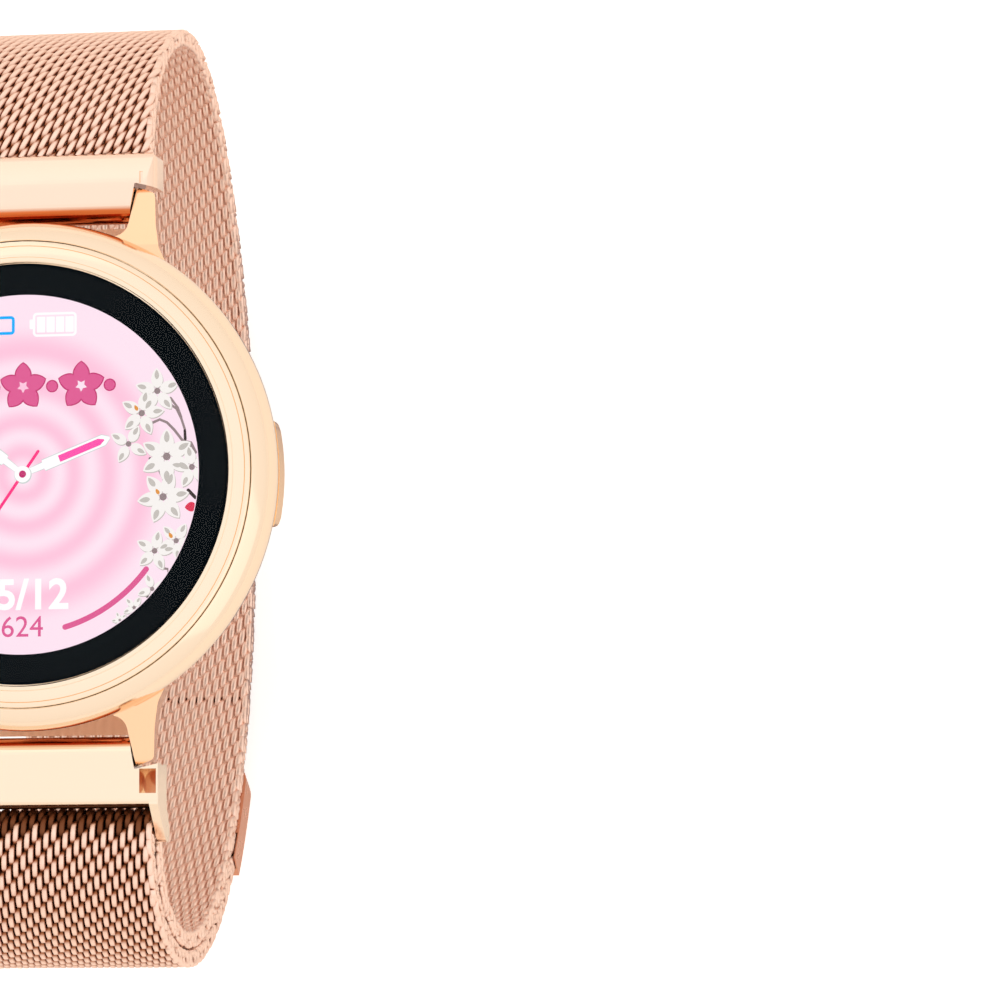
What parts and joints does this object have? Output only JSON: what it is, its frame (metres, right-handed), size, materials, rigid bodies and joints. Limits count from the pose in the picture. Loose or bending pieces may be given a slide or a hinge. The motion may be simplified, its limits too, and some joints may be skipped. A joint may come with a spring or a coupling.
{
  "type": "smartwatch",
  "caption": "Round touch smartwatch with a polished gold case, a side button and a woven metal loop band closed by a magnetic clasp tab.",
  "frame": {"origin": "centre of the flat outer face of the sensor window on the case back, which rests on the wrist", "axes": "+Z out of the display, +Y to 12 o'clock along the band, +X to 3 o'clock where the button is"},
  "size_m": [0.042, 0.0797, 0.0448],
  "materials": {
    "case_gold": "polished champagne gold plating on steel",
    "mesh_rose": "polished rose gold plated wire mesh",
    "cover_glass": "clear polished",
    "black_print": "black print behind glass",
    "display": "lit display",
    "seal_rubber": "matte",
    "flex_film": "amber film",
    "frame_plastic": "moulded",
    "board_green": "solder mask",
    "chip_black": "moulded",
    "plain_steel": "satin",
    "magnet": "nickel plated",
    "battery_foil": "foil pouch",
    "foam": "foam pad",
    "back_plastic": "dark gloss",
    "sensor_glass": "dark clear window",
    "sensor_diode": "diode lens",
    "contact_gold": "gold plated",
    "liner_rose": "satin rose gold sheet"
  },
  "bodies": {
    "case": {"case_body": "case_gold", "bezel_ring": "case_gold", "cover_glass": "cover_glass", "glass_gasket": "seal_rubber", "glass_mask": "black_print", "display_panel": "display", "display_flex": "flex_film", "inner_frame": "frame_plastic", "main_board": "board_green", "board_chips": "chip_black", "shield_can": "plain_steel", "battery": "battery_foil", "battery_foam": "foam", "vibration_motor": "plain_steel", "antenna_flex": "flex_film", "button_switch": "chip_black", "back_cover": "back_plastic", "back_gasket": "seal_rubber", "back_screws": "plain_steel", "sensor_window": "sensor_glass", "sensor_board": "board_green", "sensor_leds": "sensor_diode", "charge_contacts": "contact_gold", "charge_magnets": "magnet", "bar_tubes": "plain_steel", "bar_tips": "plain_steel", "bar_springs": "plain_steel", "strap_rear": "mesh_rose", "strap_tail": "mesh_rose"},
    "button": {"side_button": "case_gold", "button_oring": "seal_rubber", "button_clip": "plain_steel", "switch_plunger": "frame_plastic"},
    "top_link": {"end_link": "case_gold", "strap_upper": "mesh_rose"},
    "loop": {"loop_link": "case_gold", "loop_bar": "case_gold", "strap_inner": "mesh_rose", "strap_fold": "mesh_rose", "strap_outer": "mesh_rose"},
    "clasp": {"clasp_tab": "case_gold", "clasp_magnets": "magnet", "clasp_liner": "liner_rose", "strap_tail_end": "mesh_rose"}
  },
  "joints": [
    {"name": "button_press", "type": "slide", "parent": "case", "child": "button", "axis": [-1, 0, 0], "range_m": [0, 0.0004], "stiffness_N_per_m": 2500},
    {"name": "top_link_pivot", "type": "hinge", "parent": "case", "child": "top_link", "pos_m": [0, 0.02295, 0.0056], "axis": [1, 0, 0], "range_deg": [-15, 10], "stiffness_Nm_per_rad": 0.12, "deforming": ["strap_upper"]},
    {"name": "loop_link_pivot", "type": "hinge", "parent": "case", "child": "loop", "pos_m": [0, -0.02295, 0.0056], "axis": [-1, 0, 0], "range_deg": [-15, 10], "stiffness_Nm_per_rad": 0.12, "deforming": ["strap_inner", "strap_outer"]},
    {"name": "clasp_peel", "type": "hinge", "parent": "case", "child": "clasp", "pos_m": [0, -0.03671, -0.01976], "axis": [-1, 0, 0], "range_deg": [0, 40], "stiffness_Nm_per_rad": 0.004, "springref_deg": -34.38}
  ]
}
